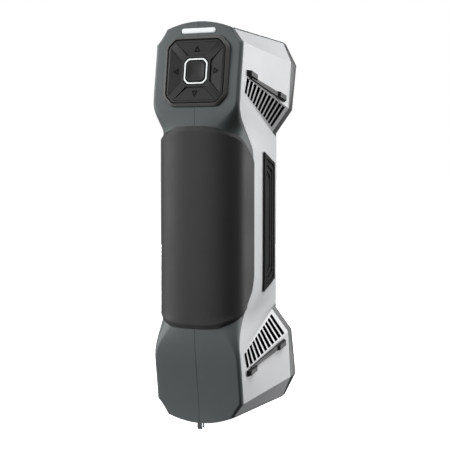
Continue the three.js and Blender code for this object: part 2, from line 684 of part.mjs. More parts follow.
// ---- cooling --------------------------------------------------------------------------------------
function heatSink() {
  const fins = [...Array(FINS).keys()].map((k) => {
    const x = 1 - SINK_HALF + FIN_PITCH * k;
    return box(x, x + FIN_THICK, FIN_REAR, SINK_Y[0] + 0.2, SINK_Z[0] + 1, SINK_Z[1] - 1);
  });
  return join(box(-SINK_HALF, SINK_HALF, ...SINK_Y, ...SINK_Z), ...fins);
}

const turnAxisToX = (geometry) => geometry.rotateZ(-Math.PI / 2);

const fanDisc = (radius, length) => turnAxisToX(new THREE.CylinderGeometry(radius, radius, length, 32));

function fanFrame() {
  const half = FAN_RADIUS + 3;
  const frame = box(-FAN_HALF_DEPTH, FAN_HALF_DEPTH, -half, half, -half, half);
  const spoke = box(...SPOKE_X, -half, half, -SPOKE_HALF, SPOKE_HALF);
  const upright = box(...SPOKE_X, -SPOKE_HALF, SPOKE_HALF, -half, half);
  const seat = fanDisc(FAN_HUB, SPOKE_X[1] - SPOKE_X[0]).translate((SPOKE_X[0] + SPOKE_X[1]) / 2, 0, 0);
  return join(cut(frame, fanDisc(FAN_RADIUS + 1, 40)), spoke, upright, seat).translate(0, FAN_Y, FAN_Z);
}

function fanRotor() {
  const blades = [...Array(FAN_BLADES).keys()].map((k) =>
    new THREE.BoxGeometry(1.1, 9, 5.4)
      .rotateY(0.6)
      .translate(-1, 8.3, 0)
      .rotateX((2 * Math.PI * k) / FAN_BLADES));
  return join(fanDisc(FAN_HUB, 6).translate(-1, 0, 0), ...blades).translate(0, FAN_Y, FAN_Z);
}

for (const [place, sz] of [['upper', 1], ['lower', -1]]) {
  for (const [name, [geometry, colour]] of Object.entries(headOptics())) {
    add(`${name}_${place}`, mirrored(geometry, 1, sz), colour);
  }
  add(`fan_rotor_${place}`, mirrored(fanRotor(), 1, sz), 'black');
}

// ---- handle front, lasers and frame ---------------------------------------------------------------
const HANDLE_FRONT = [
  [25.3, 40.2], [22.6, 42.8], [16, 44.2], [0, 44.9], [-16, 44.2], [-22.6, 42.8], [-25.3, 40.2],
];
const SCREWS = [[16, 54], [-16, 54], [-16, -54], [16, -54]];

function handleCover() {
  const back = HANDLE_FRONT.slice(1, -1).map(([x, y]) => [x, y - HANDLE_COVER_WALL]).reverse();
  const bar = plate([...HANDLE_FRONT, ...back], -HANDLE_COVER_HALF, HANDLE_COVER_HALF);
  const windowHole = (z) => plateAlongY(circle(LASER_WINDOW + GAP, 0, z, 24), 20, 60);
  const windows = [LASER_Z, -LASER_Z].map(windowHole);
  const screwHoles = SCREWS.map(([x, z]) => plateAlongY(circle(2.5, x, z, 16), 20, 60));
  return cut(bar, bezelHull(GAP), mirrored(bezelHull(GAP), 1, -1), ...windows, ...screwHoles);
}

add('handle_front_cover', handleCover(), 'trim');
SCREWS.forEach(([x, z], k) => {
  const screw = join(rodAlongY(2.1, 41.9, 43.5, x, z, 16), rodAlongY(1.1, 33, 42, x, z, 12));
  const driveSocket = plateAlongY(circle(1.1, x, z, 6), 42.7, 45);
  add(`cover_screw_${k + 1}`, cut(screw, driveSocket), 'steel');
});
for (const [place, sz] of [['upper', 1], ['lower', -1]]) {
  const window = rodAlongY(LASER_WINDOW, ...LASER_WINDOW_Y, 0, sz * LASER_Z);
  add(`laser_window_${place}`, window, 'glass');
  const laser = join(
    rodAlongY(6.5, 30.4, 41.6, 0, sz * LASER_Z),
    box(-9, 9, 20, 31, sz * LASER_Z - 9, sz * LASER_Z + 9),
  );
  add(`laser_module_${place}`, laser, 'alloy');
}

// A ribbed spine that ties the two heads and the lasers together.
function opticalFrame() {
  const spine = box(-SPINE_HALF, SPINE_HALF, ...SPINE_Y, -SPINE_Z, SPINE_Z);
  const rib = (x) => box(x - RIB_HALF, x + RIB_HALF, RIB_Y, SPINE_Y[1], -RIB_Z, RIB_Z);
  const window = (middle) => plateAlongY(octagon(8, 3).map(([x, z]) => [x, z + middle]), 10, 30);
  return cut(join(spine, rib(RIB_X), rib(-RIB_X)), ...[-60, 0, 60].map(window));
}

add('optical_frame', opticalFrame(), 'alloy');
const [boardHalf, boardReach] = MAIN_BOARD_HALF;
add('main_board', box(-boardHalf, boardHalf, 0, BOARD_THICK, -boardReach, boardReach), 'board');

// ---- keypad ---------------------------------------------------------------------------------------
const KEY_MARK = [[-2.1, 15], [2.1, 15], [0, 18.8]];
const KEY_PLACES = [
  ['up', 0, KEY_CENTRE], ['left', -KEY_CENTRE, 0], ['down', 0, -KEY_CENTRE], ['right', KEY_CENTRE, 0],
  ['centre', 0, 0],
];

// The bezel round the keys, with a floor under them and a skirt let into the shell.
function keypadTray() {
  const skirt = plate(octagon(SKIRT_HALF, SKIRT_CORNER), SKIRT_LOW, 1);
  const hull = new ConvexGeometry([
    ...octagon(BEZEL_HALF, 7.4).map(([x, y]) => v(x, y, 1)),
    ...octagon(BEZEL_HALF - 0.9, 7).map(([x, y]) => v(x, y, 0.7)),
    ...octagon(TRAY_HALF + 0.6, 5.4).map(([x, y]) => v(x, y, 2)),
  ]);
  const well = plate(octagon(TRAY_HALF + GAP, 5), KEY_FLOOR, 10);
  const hole = PLUNGER_RADIUS + 0.5;
  const plungerHoles = KEY_PLACES.map(([, x, y]) => plate(circle(hole, x, y, 12), -10, 10));
  return cut(join(skirt, hull), well, ...plungerHoles);
}

// The four-sided outline of a direction key, or of its window when grown, drawn for the top.
const keyOutline = (grow) => [
  [WEB - KEY_INNER - grow, KEY_INNER - grow], [KEY_INNER - WEB + grow, KEY_INNER - grow],
  [KEY_OUTER - WEB + grow, KEY_OUTER + grow], [WEB - KEY_OUTER - grow, KEY_OUTER + grow],
];

const quarterTurns = (geometry, turns) => geometry.clone().rotateZ((turns * Math.PI) / 2);

// A black plate with an X of webs between the four keys and a window for the middle button.
function keypadFrame() {
  const windows = [0, 1, 2, 3].map((turns) => quarterTurns(plate(keyOutline(GAP), -10, 10), turns));
  const middle = plate(octagon(RING_HALF + GAP, 3.1), -10, 10);
  return cut(plate(octagon(TRAY_HALF, 5), KEY_FLOOR + GAP, KEY_FACE), middle, ...windows);
}

// A direction key slopes from its outer end, level with the frame, down to its inner end.
function keyCap(turns) {
  const along = (y) => (y - KEY_INNER) / (KEY_OUTER - KEY_INNER);
  const top = ([x, y]) => v(x, y, mix(KEY_INNER_FACE, KEY_FACE, along(y)));
  const foot = ([x, y]) => v(x, y, KEY_FLOOR + KEY_LIFT);
  const cap = new ConvexGeometry(keyOutline(0).flatMap((corner) => [top(corner), foot(corner)]));
  const mark = plate(KEY_MARK, 0, MARK_FACE);
  return quarterTurns(join(cap, mark), turns);
}

add('keypad_bezel', onKeypad(keypadTray()), 'trim');
add('keypad_frame', onKeypad(keypadFrame()), 'black');
KEY_PLACES.slice(0, 4).forEach(([way], turns) => {
  add(`key_${way}`, onKeypad(keyCap(turns)), 'key');
});

const RING_INNER = RING_HALF - RING_BAND;
const ringOutline = octagon(RING_HALF, 3);
const ringHole = octagon(RING_INNER, 2.4);
const lightRing = plate(ringOutline, KEY_FLOOR + GAP, KEY_FACE + 0.2, [ringHole]);
add('button_light_ring', onKeypad(lightRing), 'light');

function centreButton() {
  const cap = plate(octagon(RING_INNER - GAP, 2.3), KEY_FLOOR + KEY_LIFT, KEY_FACE + 0.1);
  const dish = new THREE.SphereGeometry(DISH_RADIUS, 40, 24)
    .translate(0, 0, KEY_FACE + DISH_RADIUS - DISH_DEPTH);
  const reach = plate(octagon(RING_INNER - 1, 2.2), KEY_FACE - DISH_DEPTH, KEY_FACE + 2);
  return cut(cap, common(dish, reach));
}
add('centre_button', onKeypad(centreButton()), 'key');

const keyBoard = box(-BOARD_HALF, BOARD_HALF, -BOARD_HALF, BOARD_HALF, BOARD_TOP - BOARD_THICK, BOARD_TOP);
add('key_board', onKeypad(keyBoard), 'board');
KEY_PLACES.forEach(([way, x, y]) => {
  const can = box(
    x - SWITCH_HALF, x + SWITCH_HALF, y - SWITCH_HALF, y + SWITCH_HALF, BOARD_TOP + GAP, SWITCH_TOP,
  );
  const plunger = plate(circle(PLUNGER_RADIUS, x, y, 12), SWITCH_TOP - GAP, PLUNGER_TOP);
  add(`switch_${way}`, onKeypad(join(can, plunger)), 'black');
});
add('status_light', onStatus(plate(capsule(STATUS_HALF, STATUS_RADIUS), -2.6, 0.5)), 'light');

// ---- lug and cable inlet --------------------------------------------------------------------------
function lanyardLug() {
  const low = -TOP - LUG_DROP;
  const outline = [
    [LUG_REAR, low + LUG_ROOT], [LUG_REAR, low + LUG_CHAMFER], [LUG_REAR + 1, low],
    [LUG_FRONT - 1, low], [LUG_FRONT, low + LUG_CHAMFER], [LUG_FRONT, low + LUG_ROOT],
  ];
  const slot = [
    [LUG_REAR + LUG_RIM, low + LUG_RIM], [LUG_FRONT - LUG_RIM, low + LUG_RIM],
    [LUG_FRONT - LUG_RIM, low + LUG_SLOT_TOP], [LUG_REAR + LUG_RIM, low + LUG_SLOT_TOP],
  ];
  return plateAlongX(outline, -LUG_HALF, LUG_HALF, [slot]);
}

add('lanyard_lug', lanyardLug(), 'steel');

// A round socket let into the underside of the lower head.
function cableInlet() {
  const profile = [
    [0, INLET_TOP], [INLET_OUT, INLET_TOP], [INLET_OUT, INLET_LOW], [INLET_IN, INLET_LOW],
    [INLET_IN, INLET_TOP - 2], [0, INLET_TOP - 2],
  ];
  return new THREE.LatheGeometry(profile.map(([r, z]) => new THREE.Vector2(r, z)).reverse(), 24)
    .rotateX(Math.PI / 2)
    .translate(0, INLET_Y, 0);
}
add('cable_inlet', cableInlet(), 'black');

export default scanner;
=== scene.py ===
"""Looks of a handheld twin-head laser scanner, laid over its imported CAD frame.

Shapes are written in millimetres from the middle of the body and turned into metres when a mesh is made.
X runs to the user's right, -Y out of the padded back, Z up.
"""
import math

import bmesh
import bpy
from mathutils import Matrix, Vector


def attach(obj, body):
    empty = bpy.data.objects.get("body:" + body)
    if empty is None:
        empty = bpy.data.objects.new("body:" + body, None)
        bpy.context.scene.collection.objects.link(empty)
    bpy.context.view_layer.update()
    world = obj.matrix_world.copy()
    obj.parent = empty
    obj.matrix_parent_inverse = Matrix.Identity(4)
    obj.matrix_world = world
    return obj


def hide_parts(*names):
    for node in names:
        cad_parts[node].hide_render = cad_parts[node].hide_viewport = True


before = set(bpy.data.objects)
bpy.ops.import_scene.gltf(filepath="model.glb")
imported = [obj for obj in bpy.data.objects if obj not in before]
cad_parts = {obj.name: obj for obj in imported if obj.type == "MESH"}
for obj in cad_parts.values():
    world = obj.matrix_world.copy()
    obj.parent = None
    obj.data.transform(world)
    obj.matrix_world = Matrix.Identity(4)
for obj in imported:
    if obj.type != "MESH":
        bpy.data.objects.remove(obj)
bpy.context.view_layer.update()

# ---- driving dimensions, as in the CAD part ------------------------------------------------------
MM = 0.001
LIFT = 2.4                       # the body's middle above the origin
GAP = 0.3                        # between neighbouring pieces
SIDES = (("right", 1), ("left", -1))
ENDS = (("upper", 1), ("lower", -1))

# back shell
TOP = 149                        # crest of the arched top over the middle
ARCH = 5.6                       # fall of the crest from its middle to its ends
BACK_Y = -51.2                   # back of the handle
BACK_LEAN = 7.6                  # how far the head leans forward at its top
LEAN_START = 78
HEAD_HALF = 35.5                 # half the width
HANDLE_HALF = 32
FLARE_UP, FLARE_DOWN = (60, 92), (67, 103)    # where the handle widens into each head
SWEEP_UP, SWEEP_DOWN = (50, 88), (36, 98)     # where the side edge sweeps back into each head
CROWN = 0.3                      # bow of the head's back
CROWN_START, CROWN_RISE = 70, 25
HEAD_CORNER = 2.6
HANDLE_CORNER = 18
HANDLE_ROUNDNESS = 2.8           # exponent of the handle's back: 2 is an ellipse, more is squarer
FLAT_END, CORNER_END = 0.3, 0.85 # shares of the section's outline where its flat and its corner end
EVEN_ROWS_END = 126              # the evenly spaced rows stop here, below the chamfer
CHAMFER_Z = 132.5                # foot of the head's upper chamfer
CREST_HALF = 27.6                # half the width of the crest at the back
ROOF_HALF = 29.8                 # half the width of the roof at its front
ROOF_FALL = 4.1                  # fall of the roof from back to front
HANDLE_EDGE_Y = -17.7            # side edge of the shell at the handle
HEAD_EDGE_DEPTH = 2.9            # side edge of the shell at the heads, in front of its back
SHELL_WALL = 2.4
SEAM = 0.3                       # width of the line between the two shell halves
INLET_Y = 4
INLET_HOLE = 8.4                 # radius
LUG_HALF, LUG_REAR, LUG_FRONT = 2.2, -43.0, -37.6
LUG_FORWARD = 0.8                # the lug's shift forward from its CAD place

# side covers
COVER_WALL = 2.2
REAR_OF_BEZEL = 42.5
SLOTS = 11
SLOT_FIRST, SLOT_LAST = 0.13, 0.905           # middles of the outer slots, as shares of the cover's depth
SLOT_WIDTH = 0.05
SLOT_ENDS = (0.05, 0.9)
SLOT_ROW = 7                     # the row of cells between the two ends of the slots
CREASE_U = 0.28                  # where the handle's cover is creased
COVER_CREST = (Vector((28.0, -41.7, 142.6)), Vector((30.2, REAR_OF_BEZEL, 138.5)))
COVER_SHOULDER = Vector((36.9, REAR_OF_BEZEL, 123.3))
COVER_VENT_TOP = Vector((34.8, REAR_OF_BEZEL, 87.6))
COVER_VENT_LOW = Vector((25.2, 32.6, 69))
COVER_HANDLE_TOP = Vector((25.6, 39.7, 65.2))
SHOULDER_REAR = 120
VENT_REAR_TOP, VENT_REAR_LOW, HANDLE_REAR_TOP = 110, 98, 42
NECK_SHARE = 0.35                # share of the handle's lines that leave the vent before the straight front
# gap and wall of the black sheets of painted shade behind the vent slots
SHADE_SHEET_GAP, SHADE_SHEET_WALL = 0.4, 0.4

# grip pad
PAD_MIDDLE = -3
PAD_HALF_HEIGHT = 75
PAD_FLAT = 6                     # half the straight part of its top edge, measured round the shell
PAD_SIDE = 54                    # reach of each corner round the shell
PAD_CORNER = 30                  # height of each corner
PAD_POWER = 1.6                  # below 2, so the corners are flatter than an ellipse
PAD_PROUD, PAD_EDGE_HEIGHT, PAD_SUNK = 1.2, -0.05, 0.9
PAD_BEVEL = 3.2                  # width of the slope along its edge
PAD_LAST_SHARE = 0.975           # the pad ends just short of the shell's side edge

# keypad and status light
KEY_TILT = math.radians(7.9)
KEY_Z, KEY_Y = 112, -47.6
BEZEL_HALF, TRAY_HALF = 26.3, 23.4
RING_HALF, RING_BAND = 9.9, 1.5
RING_CORNER, RING_INNER_CORNER = 3, 2.5
RIM_CORNER, RIM_ROUNDING = 7.4, 8
PLATE_CORNER, PLATE_ROUNDING = 5.6, 5
KEYPAD_PLAY, STATUS_PLAY = 0.25, 0.15         # round the pieces set into an opening
WEB, KEY_INNER, KEY_OUTER = 4.1, 11.7, 21.6
KEY_FLOOR, KEY_FACE, KEY_LIFT, KEY_INNER_FACE = -2.4, 1.3, 0.9, 0.5
BUTTON_GAP, BUTTON_CORNER = 0.9, 2.1
DISH_DEPTH = 0.8                 # of the middle button's hollow
STATUS_HALF, STATUS_RADIUS, STATUS_Z, STATUS_Y = 13.8, 1.75, 142.2, -43.9

# optics
HEAD_MID = 112.5
LASER_Z = 24
FINE = 96                        # sides of a round piece

# shading
FLAT_SHARP, ROUND_SHARP = 30, 35 # edges sharper than this many degrees stay sharp
MERGE = 0.002                    # points closer than this are one
CAD_MERGE = 0.00002              # metres
CAD_FLAT = math.radians(1.5)     # CAD triangles that meet flatter than this are one face


# ---- small mathematics ---------------------------------------------------------------------------
def mix(a, b, t):
    return a + (b - a) * t


def smooth(t):
    c = min(1, max(0, t))
    return c * c * (3 - 2 * c)


def spread(start, end, count):
    return [mix(start, end, k / count) for k in range(count + 1)]


def back_line(z):
    """Y of the shell's back."""
    return BACK_Y + BACK_LEAN * smooth((abs(z) - LEAN_START) / (TOP - LEAN_START))


def crown_at(z):
    return CROWN * smooth((abs(z) - CROWN_START) / CROWN_RISE)


def towards_head(z, up, down):
    """0 at the handle, 1 at a head."""
    start, end = up if z > 0 else down
    return smooth((abs(z) - start) / (end - start))


def half_width(z):
    return mix(HANDLE_HALF, HEAD_HALF, towards_head(z, FLARE_UP, FLARE_DOWN))


def edge_y(z):
    """Y of the shell's side edge."""
    return mix(HANDLE_EDGE_Y, back_line(z) + HEAD_EDGE_DEPTH, towards_head(z, SWEEP_UP, SWEEP_DOWN))


def section_point(s, z, width, inset):
    """A point of the shell's section, from the middle (s = 0) round the corner to the side edge (s = 1)."""
    y, crown, edge = back_line(z), crown_at(z), edge_y(z)
    corner = max(HEAD_CORNER, min(HANDLE_CORNER, edge - y - crown))
    radius = max(corner - inset, 0.4)
    centre_x, centre_y = width - corner, y + crown + corner
    if s >= CORNER_END:
        side = (s - CORNER_END) / (1 - CORNER_END)
        return Vector((width - inset, mix(centre_y, max(edge, centre_y + 0.1), side), z))
    if s < FLAT_END:
        x = centre_x * s / FLAT_END
        point = Vector((x, y + inset + crown * (x / centre_x) ** 2, z))
    else:
        angle = math.pi / 2 * (s - FLAT_END) / (CORNER_END - FLAT_END)
        flat = corner - inset - radius
        x = centre_x + flat + radius * math.sin(angle)
        point = Vector((x, centre_y - flat - radius * math.cos(angle), z))
    across = point.x / (width - inset)
    deep = max(0, (centre_y - point.y) / (centre_y - y - inset))
    scale = (across ** HANDLE_ROUNDNESS + deep ** HANDLE_ROUNDNESS) ** (-1 / HANDLE_ROUNDNESS)
    bowed = Vector((point.x * scale, centre_y - (centre_y - point.y) * scale, z))
    return bowed.lerp(point, towards_head(z, FLARE_UP, FLARE_DOWN))


# ---- mesh helpers --------------------------------------------------------------------------------
def new_object(name, mesh_builder, sharp=FLAT_SHARP):
    """Links an object whose bmesh, in millimetres, was filled by mesh_builder."""
    bm = bmesh.new()
    mesh_builder(bm)
    bmesh.ops.remove_doubles(bm, verts=bm.verts, dist=MERGE)
    bmesh.ops.recalc_face_normals(bm, faces=bm.faces)
    for vert in bm.verts:
        vert.co = Vector((vert.co.x, vert.co.y, vert.co.z + LIFT)) * MM
    mesh = bpy.data.meshes.new(name)
    bm.to_mesh(mesh)
    bm.free()
    obj = bpy.data.objects.new(name, mesh)
    bpy.context.scene.collection.objects.link(obj)
    shade(obj, sharp)
    return obj


def shade(obj, sharp):
    """Smooth shading, with the edges sharper than so many degrees left sharp."""
    for polygon in obj.data.polygons:
        polygon.use_smooth = True
    obj.data.set_sharp_from_angle(angle=math.radians(sharp))


def soften(obj, width, segments=2, angle=30):
    """Rounds every edge sharper than the angle, so that it catches the light."""
    bevel = obj.modifiers.new("edges", "BEVEL")
    bevel.width = width * MM
    bevel.segments = segments
    bevel.limit_method = "ANGLE"
    bevel.angle_limit = math.radians(angle)
    bevel.harden_normals = True
    return obj


def sheet_builder(outer, inner, missing=lambda i, j: False):
    """Fills a bmesh with the closed solid between two grids, leaving out the missing cells.

    The outer skin and the sheet's edges take the first material, its back and the walls of its holes the
    second.
    """
    rows, cols = len(outer), len(outer[0])
    kept = {(i, j) for i in range(rows - 1) for j in range(cols - 1) if not missing(i, j)}

    def build(bm):
        grid = [[[bm.verts.new(p) for p in row] for row in side] for side in (outer, inner)]
        used = set()

        def face(second, *corners):
            bm.faces.new([grid[k][i][j] for k, i, j in corners]).material_index = int(second)
            used.update(corners)

        for i, j in kept:
            face(False, (0, i, j), (0, i, j + 1), (0, i + 1, j + 1), (0, i + 1, j))
            face(True, (1, i, j), (1, i + 1, j), (1, i + 1, j + 1), (1, i, j + 1))
            if (i - 1, j) not in kept:
                face(i > 0, (0, i, j), (1, i, j), (1, i, j + 1), (0, i, j + 1))
            if (i + 1, j) not in kept:
                face(i < rows - 2, (0, i + 1, j), (0, i + 1, j + 1), (1, i + 1, j + 1), (1, i + 1, j))
            if (i, j - 1) not in kept:
                face(j > 0, (0, i, j), (0, i + 1, j), (1, i + 1, j), (1, i, j))
            if (i, j + 1) not in kept:
                face(j < cols - 2, (0, i, j + 1), (1, i, j + 1), (1, i + 1, j + 1), (0, i + 1, j + 1))
        for k in (0, 1):
            for i in range(rows):
                for j in range(cols):
                    if (k, i, j) not in used:
                        bm.verts.remove(grid[k][i][j])

    return build


def loft_builder(loops, ring=False):
    """Joins loops of points into a solid: a ring closes on itself, anything else is capped."""
    def build(bm):
        lines = [[bm.verts.new(p) for p in loop] for loop in loops]
        pairs = list(zip(lines, lines[1:] + lines[:1])) if ring else list(zip(lines, lines[1:]))
        for a, b in pairs:
            for k in range(len(a)):
                n = (k + 1) % len(a)
                bm.faces.new([a[k], a[n], b[n], b[k]])
        if not ring:
            bm.faces.new(lines[0])
            bm.faces.new(lines[-1])
    return build


def circle(radius):
    """Points evenly round a circle about (0, 0)."""
    turns = [2 * math.pi * k / FINE for k in range(FINE)]
    return [(radius * math.cos(turn), radius * math.sin(turn)) for turn in turns]


def turned(profile, height, ring=False):
    """A piece turned about a line along Y at a height; the profile lists (radius, y)."""
    return loft_builder([[(x, y, height + up) for x, up in circle(radius)] for radius, y in profile], ring)


def turned_upright(profile):
    """A piece turned about the inlet's upright middle line; the profile lists (radius, z)."""
    return loft_builder([[(x, INLET_Y + y, z) for x, y in circle(radius)] for radius, z in profile])


def mirror_builder(builder, sx, sz):
    """The same bmesh filling, mirrored left to right or top to bottom."""
    def build(bm):
        builder(bm)
        for vert in bm.verts:
            vert.co.x *= sx
            vert.co.z *= sz
    return build


def cut_away(obj, *tools):
    """Cuts closed tools out of a mesh for good."""
    for tool in tools:
        cutter = new_object("cutter", tool)
        modifier = obj.modifiers.new("cut", "BOOLEAN")
        modifier.operation = "DIFFERENCE"
        modifier.solver = "EXACT"
        modifier.object = cutter
        bpy.context.view_layer.update()
        made = bpy.data.meshes.new_from_object(obj.evaluated_get(bpy.context.evaluated_depsgraph_get()))
        obj.modifiers.clear()
        obj.data = made
        bpy.data.objects.remove(cutter)
    return obj


def from_cad(node, name):
    """A new mesh with the CAD node's shape, its flat triangles joined into whole faces."""
    bm = bmesh.new()
    bm.from_mesh(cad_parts[node].data)
    bmesh.ops.remove_doubles(bm, verts=bm.verts, dist=CAD_MERGE)
    bmesh.ops.dissolve_limit(bm, angle_limit=CAD_FLAT, verts=bm.verts, edges=bm.edges)
    bmesh.ops.recalc_face_normals(bm, faces=bm.faces)
    mesh = bpy.data.meshes.new(name)
    bm.to_mesh(mesh)
    bm.free()
    obj = bpy.data.objects.new(name, mesh)
    bpy.context.scene.collection.objects.link(obj)
    shade(obj, FLAT_SHARP)
    return obj


def rounded(outline, radius, steps=5):
    """The outline with every corner turned into an arc."""
    points = [Vector(p) for p in outline]
    made = []
    for k, corner in enumerate(points):
        before = points[k - 1] - corner
        after = points[(k + 1) % len(points)] - corner
        half = before.angle(after) / 2
        reach = min(radius / math.tan(half), 0.45 * before.length, 0.45 * after.length)
        start = corner + before.normalized() * reach
        end = corner + after.normalized() * reach
        for t in spread(0, 1, steps):
            bend = (1 - t) ** 2 * start + 2 * t * (1 - t) * corner + t * t * end
            made.append((bend.x, bend.y))
    return made


def octagon(half, corner):
    """A square with its corners cut off, each by the same length along both sides."""
    c = half - corner
    right = [(c, -half), (half, -c), (half, c), (c, half)]
    return right + [(-x, y) for x, y in reversed(right)]


# ---- procedural materials ------------------------------------------------------------------------
CLOUD_SCALE = 38                 # of the broad mottling
GRAIN_DEPTH = 0.0002             # metres
RUB_RADIUS = 0.0006              # metres on each side of a rubbed edge
COAT_ROUGHNESS = 0.2
COATING_IOR = 1.38


def tone(colour, factor):
    """A lighter or darker colour, with full alpha."""
    return tuple(min(1, c * factor) for c in colour) + (1,)


class Nodes:
    """A short way to write a node tree."""

    def __init__(self, tree):
        self.tree = tree

    def add(self, kind, inputs=None, **settings):
        node = self.tree.nodes.new("ShaderNode" + kind)
        for key, value in settings.items():
            setattr(node, key, value)
        for key, value in (inputs or {}).items():
            if isinstance(value, bpy.types.NodeSocket):
                self.tree.links.new(value, node.inputs[key])
            else:
                node.inputs[key].default_value = value
        return node

    def noise(self, place, scale, detail=3, rough=0.5):
        made = self.add("TexNoise", {"Vector": place, "Scale": scale, "Detail": detail, "Roughness": rough})
        return made.outputs["Fac"]

    def ramp(self, value, low, high, a, b):
        inputs = {"Value": value, "From Min": low, "From Max": high, "To Min": a, "To Max": b}
        return self.add("MapRange", inputs).outputs["Result"]

    def blend(self, factor, a, b):
        made = self.add("Mix", {"Factor": factor}, data_type="RGBA")
        for socket, value in (("A_Color", a), ("B_Color", b)):
            target = next(i for i in made.inputs if i.identifier == socket)
            if isinstance(value, bpy.types.NodeSocket):
                self.tree.links.new(value, target)
            else:
                target.default_value = value
        return next(o for o in made.outputs if o.identifier == "Result_Color")


def finish(name, colour, rough, grain=2200, relief=0.05, mottle=0.06, wear=0.25, metallic=0.0, coat=0.0,
           specular=0.5, stretch=(1, 1, 1)):
    """A moulded or lacquered surface: mottled colour, uneven gloss, fine grain and edges rubbed lighter."""
    material = bpy.data.materials.new(name)
    material.use_nodes = True
    nodes = Nodes(material.node_tree)
    shader = material.node_tree.nodes["Principled BSDF"]
    place = nodes.add("TexCoord").outputs["Object"]
    stretched = nodes.add("Mapping", {"Vector": place, "Scale": stretch}).outputs["Vector"]
    broad = nodes.noise(place, CLOUD_SCALE, 4)
    fine = nodes.noise(stretched, grain, 2, 0.6)
    cloud = nodes.blend(broad, tone(colour, 1 - mottle), tone(colour, 1 + mottle))
    painted = nodes.blend(nodes.ramp(fine, 0.35, 0.65, 0, mottle * 2), cloud, tone(colour, 1 + 3 * mottle))
    if wear:
        painted = nodes.blend(rubbed_edges(nodes, broad, wear), painted, tone(colour, 1.9))
    nodes.tree.links.new(painted, shader.inputs["Base Color"])
    nodes.tree.links.new(nodes.ramp(broad, 0.2, 0.8, rough - 0.05, rough + 0.06), shader.inputs["Roughness"])
    bump = nodes.add("Bump", {"Height": fine, "Strength": relief, "Distance": GRAIN_DEPTH})
    nodes.tree.links.new(bump.outputs["Normal"], shader.inputs["Normal"])
    shader.inputs["Metallic"].default_value = metallic
    shader.inputs["Coat Weight"].default_value = coat
    shader.inputs["Coat Roughness"].default_value = COAT_ROUGHNESS
    shader.inputs["Specular IOR Level"].default_value = specular
    return material


def rubbed_edges(nodes, broad, wear):
    """Patchy shares of wear where the surface turns sharply."""
    round_normal = nodes.add("Bevel", {"Radius": RUB_RADIUS}, samples=4).outputs["Normal"]
    flat_normal = nodes.add("NewGeometry").outputs["Normal"]
    meeting = nodes.add("VectorMath", {0: round_normal, 1: flat_normal}, operation="DOT_PRODUCT")
    edges = nodes.ramp(meeting.outputs["Value"], 0.985, 0.9, 0, wear)
    patches = nodes.ramp(broad, 0.3, 0.6, 0.4, 1)
    return nodes.add("Math", {0: edges, 1: patches}, operation="MULTIPLY").outputs["Value"]


def lit(material, colour, strength):
    """Adds the faint glow of a light guide."""
    shader = material.node_tree.nodes["Principled BSDF"]
    shader.inputs["Emission Color"].default_value = (*colour, 1)
    shader.inputs["Emission Strength"].default_value = strength
    return material


def optic(name, colour, film):
    """Dark coated glass: a clear glossy face with an interference coating, in nanometres."""
    material = finish(name, colour, 0.1, grain=900, relief=0.01, mottle=0.1, wear=0, coat=1.0)
    shader = material.node_tree.nodes["Principled BSDF"]
    shader.inputs["Thin Film Thickness"].default_value = film
    shader.inputs["Thin Film IOR"].default_value = COATING_IOR
    return material


